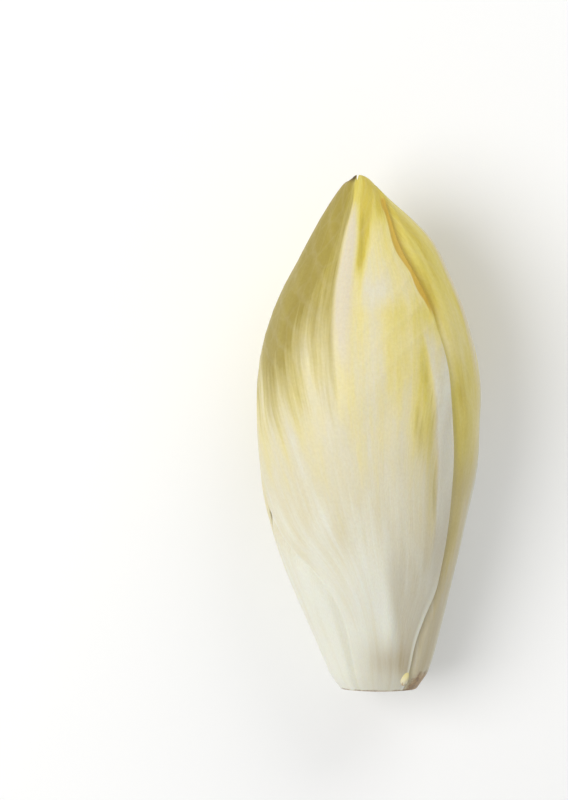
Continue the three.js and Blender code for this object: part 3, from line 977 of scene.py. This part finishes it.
def finish_piece(piece, node, material):
    """Gives a piece its material, and ties it to the CAD model."""
    piece.data.materials.append(material)
    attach(piece, "root")
    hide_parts(node)


def build_leaves(context, kind, rows, columns, material_name, ripeness):
    """Makes every leaf of a kind. The kind is how its nodes' names start."""
    head = Head(context.scene.endive_sizes)
    material = leaf_skin(material_name, context.scene.endive_colours, ripeness)
    chosen = [leaf for leaf in grow_leaves(head) if leaf.node.startswith(kind)]
    if not chosen:
        raise RuntimeError(f"the frame has no node whose name starts with {kind}")
    for leaf in chosen:
        finish_piece(make_leaf(head, leaf, rows, columns), leaf.node, material)
    return {"FINISHED"}


class ENDIVE_OT_outer_leaves(bpy.types.Operator):
    """Add the five outer leaves that form the ring that shows"""

    bl_idname = "endive.outer_leaves"
    bl_label = "Outer leaves"

    def execute(self, context):
        return build_leaves(context, "outer_leaf", 300, 150, "blanched_outer_leaf_skin", 0.0)


class ENDIVE_OT_inner_leaves(bpy.types.Operator):
    """Add the inner leaves, wrapped inside the outer ones"""

    bl_idname = "endive.inner_leaves"
    bl_label = "Inner leaves"

    def execute(self, context):
        return build_leaves(context, "inner_leaf", 120, 56, "blanched_inner_leaf_skin", 0.08)


class ENDIVE_OT_heart_leaves(bpy.types.Operator):
    """Add the small heart leaves"""

    bl_idname = "endive.heart_leaves"
    bl_label = "Heart leaves"

    def execute(self, context):
        return build_leaves(context, "heart_leaf", 80, 40, "tender_heart_leaf_skin", 0.16)


class ENDIVE_OT_stem(bpy.types.Operator):
    """Add the stem cone with its browned cut face"""

    bl_idname = "endive.stem"
    bl_label = "Stem core"

    def execute(self, context):
        piece = make_stem(Head(context.scene.endive_sizes))
        finish_piece(piece, "stem_core", stem_flesh(context.scene.endive_colours))
        return {"FINISHED"}


class ENDIVE_OT_bud(bpy.types.Operator):
    """Add the small side bud at the base"""

    bl_idname = "endive.bud"
    bl_label = "Base bud"

    def execute(self, context):
        finish_piece(make_bud(), "base_bud", bud_scale(context.scene.endive_colours))
        return {"FINISHED"}


def add_floor(scene, material):
    """A flat square of floor at height 0."""
    corners = [(x * FLOOR_HALF, y * FLOOR_HALF, 0) for x, y in ((-1, -1), (1, -1), (1, 1), (-1, 1))]
    mesh = bpy.data.meshes.new("studio_floor")
    mesh.from_pydata(corners, [], [(0, 1, 2, 3)])
    mesh.materials.append(material)
    floor = bpy.data.objects.new("studio_floor", mesh)
    scene.collection.objects.link(floor)


def add_lamp(scene, name, power, middle, place):
    """A round soft lamp at a place measured from the middle of the head, and aimed at it."""
    light = bpy.data.lights.new(name, "AREA")
    light.shape = "DISK"
    light.size = LAMP_WIDTH
    light.energy = power
    lamp = bpy.data.objects.new(name, light)
    lamp.location = middle + Vector(place)
    lamp.rotation_euler = (-Vector(place)).to_track_quat("-Z", "Y").to_euler()
    scene.collection.objects.link(lamp)


class ENDIVE_OT_stage(bpy.types.Operator):
    """Add the floor, the soft light and the camera that looks straight down"""

    bl_idname = "endive.stage"
    bl_label = "Studio"

    def execute(self, context):
        scene = context.scene
        studio = scene.endive_studio
        low, high = CAD_BOX
        middle = (low + high) / 2
        add_floor(scene, studio_floor(scene.endive_colours))
        add_lamp(scene, "key", studio.key_power, middle, KEY_PLACE)
        add_lamp(scene, "fill", studio.fill_power, middle, FILL_PLACE)

        world = bpy.data.worlds.new("soft_white")
        world.use_nodes = True
        world.node_tree.nodes["Background"].inputs["Color"].default_value = (1, 1, 1, 1)
        world.node_tree.nodes["Background"].inputs["Strength"].default_value = studio.sky
        scene.world = world
        scene.view_settings.view_transform = "Standard"

        camera = bpy.data.cameras.new("camera")
        camera.sensor_fit = "HORIZONTAL"
        camera.lens = camera.sensor_width * studio.camera_height / studio.view_width
        eye = bpy.data.objects.new("camera", camera)
        eye.location = middle + Vector((-studio.head_right, studio.head_down, studio.camera_height))
        scene.collection.objects.link(eye)
        scene.camera = eye
        return {"FINISHED"}


class ENDIVE_PT_build(bpy.types.Panel):
    """Sizes, colours and the steps that build the head"""

    bl_label = "Belgian endive"
    bl_idname = "ENDIVE_PT_build"
    bl_space_type = "VIEW_3D"
    bl_region_type = "UI"
    bl_category = "Endive"

    def draw(self, context):
        for group in GROUPS:
            column = self.layout.column()
            settings = getattr(context.scene, group)
            for name in GROUPS[group].__annotations__:
                column.prop(settings, name)
        for operator in OPERATORS:
            self.layout.operator(operator.bl_idname)


GROUPS = {"endive_sizes": EndiveSizes, "endive_colours": EndiveColours, "endive_studio": EndiveStudio}
OPERATORS = (
    ENDIVE_OT_outer_leaves,
    ENDIVE_OT_inner_leaves,
    ENDIVE_OT_heart_leaves,
    ENDIVE_OT_stem,
    ENDIVE_OT_bud,
    ENDIVE_OT_stage,
)


def register():
    for group, kind in GROUPS.items():
        bpy.utils.register_class(kind)
        setattr(bpy.types.Scene, group, bpy.props.PointerProperty(type=kind))
    for kind in (*OPERATORS, ENDIVE_PT_build):
        bpy.utils.register_class(kind)


def unregister():
    for kind in (ENDIVE_PT_build, *reversed(OPERATORS)):
        bpy.utils.unregister_class(kind)
    for group, kind in GROUPS.items():
        delattr(bpy.types.Scene, group)
        bpy.utils.unregister_class(kind)


def main():
    """Builds the head and its stage."""
    register()
    bpy.ops.endive.outer_leaves()
    bpy.ops.endive.inner_leaves()
    bpy.ops.endive.heart_leaves()
    bpy.ops.endive.stem()
    bpy.ops.endive.bud()
    bpy.ops.endive.stage()


if __name__ == "__main__":
    main()
